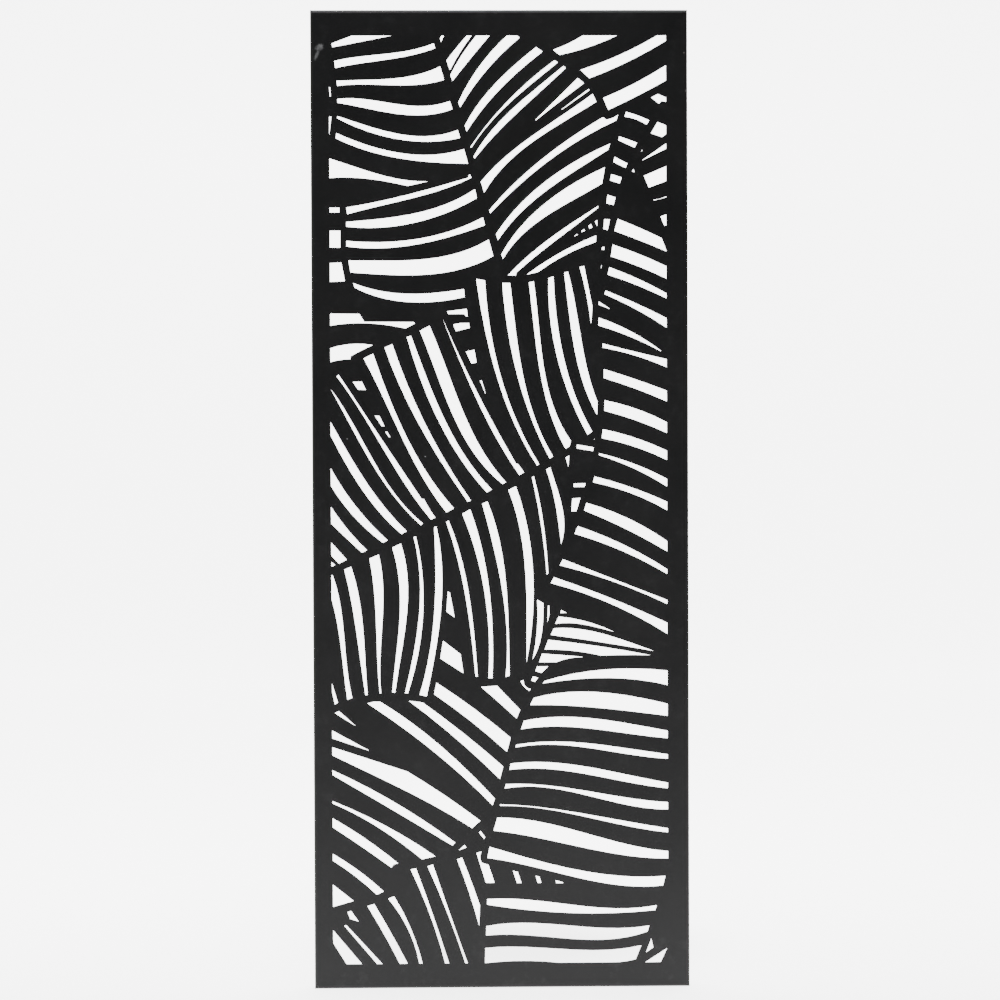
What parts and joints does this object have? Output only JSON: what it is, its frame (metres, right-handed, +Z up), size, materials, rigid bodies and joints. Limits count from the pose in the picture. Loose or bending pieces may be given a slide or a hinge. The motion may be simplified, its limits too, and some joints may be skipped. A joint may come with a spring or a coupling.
{
  "type": "decorative_metal_panel",
  "caption": "Tall narrow black metal panel with folded edges and a tropical leaf pattern cut through its face, with keyhole corner plates behind it for hanging on a wall.",
  "frame": {"origin": "middle of the base of the whole part's box, on the floor plane under the panel", "axes": "+X to the right seen from the front, front face towards -Y, +Z up"},
  "size_m": [0.5, 0.022, 1.3],
  "materials": {
    "black_coat": "satin black powder coat",
    "rivet_metal": "bare blind rivets",
    "bumper_rubber": "matt black rubber"
  },
  "bodies": {
    "root": {"leaf_panel": "black_coat", "corner_plate_top_left": "black_coat", "corner_plate_top_right": "black_coat", "corner_plate_bottom_left": "black_coat", "corner_plate_bottom_right": "black_coat", "corner_rivets_top_left": "rivet_metal", "corner_rivets_top_right": "rivet_metal", "corner_rivets_bottom_left": "rivet_metal", "corner_rivets_bottom_right": "rivet_metal", "wall_bumper_top_left": "bumper_rubber", "wall_bumper_top_right": "bumper_rubber", "wall_bumper_bottom_left": "bumper_rubber", "wall_bumper_bottom_right": "bumper_rubber"}
  },
  "joints": []
}
